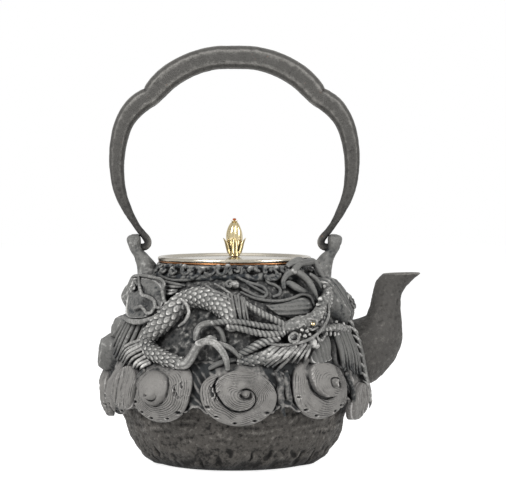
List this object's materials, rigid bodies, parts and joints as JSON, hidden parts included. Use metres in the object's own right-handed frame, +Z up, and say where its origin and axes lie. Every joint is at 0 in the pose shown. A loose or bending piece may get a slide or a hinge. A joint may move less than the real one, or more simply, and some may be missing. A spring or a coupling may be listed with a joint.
{
  "type": "kettle",
  "caption": "Cast iron kettle with a dragon and waves in high relief, a swinging bow handle, a lift-off lid with a gilt bud knob and a short raised spout.",
  "frame": {"origin": "centre of the flat foot, on the surface that the kettle stands on", "axes": "+Z up, +X towards the spout, so the dragon's head looks out at -Y and to the spout"},
  "size_m": [0.1835, 0.1579, 0.2321],
  "materials": {
    "body_iron": "rough cast, dull",
    "relief_iron": "rough cast, raised parts rubbed lighter",
    "handle_iron": "smoother cast, faint rust flecks",
    "silvered_lid": "silvered, soft polish",
    "copper": "brown copper",
    "gilt": "gilt, bright polish",
    "red_finial": "red patina"
  },
  "bodies": {
    "kettle": {"back_ribbon_01": "relief_iron", "back_ribbon_02": "relief_iron", "body_shell": "body_iron", "cloud_border_back": "relief_iron", "cloud_border_front": "relief_iron", "cloud_leaf": "relief_iron", "cloud_ribbon_01": "relief_iron", "cloud_ribbon_02": "relief_iron", "cloud_ribbon_03": "relief_iron", "dragon_arch": "relief_iron", "dragon_beard": "relief_iron", "dragon_claw": "relief_iron", "dragon_eye": "gilt", "dragon_fin": "relief_iron", "dragon_foreleg": "relief_iron", "dragon_hair": "relief_iron", "dragon_head": "relief_iron", "dragon_hind_leg": "relief_iron", "dragon_horn_lower": "relief_iron", "dragon_horn_upper": "relief_iron", "dragon_mane": "relief_iron", "dragon_neck": "relief_iron", "dragon_tail": "relief_iron", "dragon_tail_fin": "relief_iron", "dragon_upper_claw": "relief_iron", "dragon_whisker": "relief_iron", "ear_left": "relief_iron", "ear_right": "relief_iron", "shield_lip": "relief_iron", "shield_ribbon": "relief_iron", "shoulder_flower": "relief_iron", "shoulder_plate": "relief_iron", "shoulder_shield": "relief_iron", "side_leaf_01": "relief_iron", "side_leaf_02": "relief_iron", "spout": "body_iron", "spout_frond_back": "relief_iron", "spout_frond_front": "relief_iron", "waterfall": "relief_iron", "wave_scroll_01": "relief_iron", "wave_scroll_02": "relief_iron", "wave_scroll_03": "relief_iron", "wave_scroll_04": "relief_iron", "wave_scroll_05": "relief_iron", "wave_scroll_06": "relief_iron", "wave_scroll_07": "relief_iron", "wave_scroll_08": "relief_iron", "wave_scroll_09": "relief_iron", "wave_scroll_10": "relief_iron", "wave_scroll_11": "relief_iron", "wave_skirt": "relief_iron"},
    "handle": {"handle": "handle_iron"},
    "lid": {"lid_plate": "silvered_lid", "lid_skirt": "copper", "knob_washer": "copper"},
    "knob": {"knob_stem": "copper", "knob_calyx": "gilt", "knob_bud": "gilt", "knob_finial": "red_finial"}
  },
  "joints": [
    {"name": "handle_swing", "type": "hinge", "parent": "kettle", "child": "handle", "pos_m": [0, 0, 0.1195], "axis": [1, 0, 0], "range_deg": [-85, 85]},
    {"name": "lid_lift", "type": "slide", "parent": "kettle", "child": "lid", "axis": [0, 0, 1], "range_m": [0, 0.07]},
    {"name": "knob_spin", "type": "hinge", "parent": "lid", "child": "knob", "pos_m": [0, 0, 0.1143], "axis": [0, 0, 1], "continuous": true}
  ]
}
